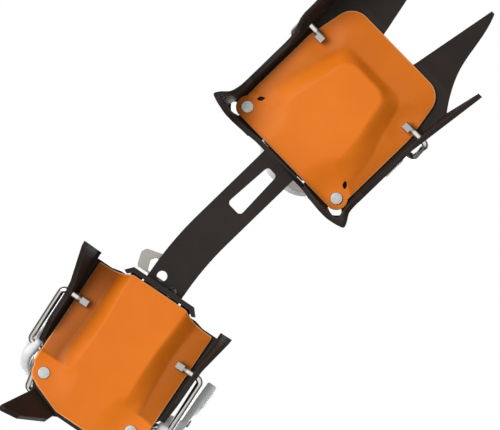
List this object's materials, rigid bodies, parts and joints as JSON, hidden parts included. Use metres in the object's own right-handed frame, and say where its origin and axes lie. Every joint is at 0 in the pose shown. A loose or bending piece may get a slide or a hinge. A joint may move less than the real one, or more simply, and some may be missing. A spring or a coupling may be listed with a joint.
{
  "type": "crampon",
  "caption": "Adjustable ice crampon for the right boot: pointed front and rear steel frames on a linking bar, moulded antiballing plates, wire toe and heel bindings.",
  "frame": {"origin": "centre of the boot rest of the front frame, on its upper face midway between the two rivets of the front plate", "axes": "+Z towards the boot (up, the points look down), +Y towards the toes, +X to the outer side of the right foot"},
  "size_m": [0.1326, 0.3782, 0.097],
  "materials": {
    "coated_steel": "black powder-coated sheet steel, fine satin texture",
    "orange_plastic": "moulded flexible orange plastic, satin",
    "rivet_steel": "zinc-plated steel, dull silver",
    "stainless_wire": "drawn stainless spring wire, polished",
    "grey_plastic": "flexible moulded plastic, pale grey",
    "spring_steel": "bead-blasted spring steel sheet"
  },
  "bodies": {
    "front_unit": {"front_frame": "coated_steel", "front_antiball_plate": "orange_plastic", "front_plate_rivets": "rivet_steel"},
    "toe_binding": {"toe_wire_outer": "stainless_wire", "toe_wire_inner": "stainless_wire", "toe_basket": "grey_plastic"},
    "linking_bar": {"linking_bar": "coated_steel", "bar_stop_rivet": "rivet_steel"},
    "rear_unit": {"rear_frame": "coated_steel", "rear_antiball_plate": "orange_plastic", "rear_plate_rivets": "rivet_steel", "bar_guide": "coated_steel", "guide_rivets": "rivet_steel", "lever_pivot_pin": "rivet_steel", "lever_spring": "stainless_wire"},
    "length_lever": {"length_lever": "spring_steel", "lock_stud": "rivet_steel"},
    "heel_binding": {"heel_wire": "stainless_wire", "heel_cradle": "grey_plastic", "cradle_rivets": "rivet_steel"}
  },
  "joints": [
    {"name": "toe_bail_hinge", "type": "hinge", "parent": "front_unit", "child": "toe_binding", "pos_m": [0, 0.0613, -0.0095], "axis": [-1, 0, 0], "range_deg": [0, 75]},
    {"name": "bar_hinge", "type": "hinge", "parent": "front_unit", "child": "linking_bar", "pos_m": [0, -0.0096, -0.0048], "axis": [1, 0, 0], "range_deg": [-8, 8]},
    {"name": "length_slide", "type": "slide", "parent": "linking_bar", "child": "rear_unit", "axis": [-0.2062, -0.9785, 0], "range_m": [0, 0.03]},
    {"name": "lever_hinge", "type": "hinge", "parent": "rear_unit", "child": "length_lever", "pos_m": [-0.00725, -0.12298, 0.0029], "axis": [0.9785, -0.2062, 0], "range_deg": [-20, 15], "stiffness_Nm_per_rad": 0.04, "springref_deg": -20},
    {"name": "heel_bail_hinge", "type": "hinge", "parent": "rear_unit", "child": "heel_binding", "pos_m": [-0.01189, -0.145, -0.0095], "axis": [-0.9785, 0.2062, 0], "range_deg": [0, 95]}
  ]
}
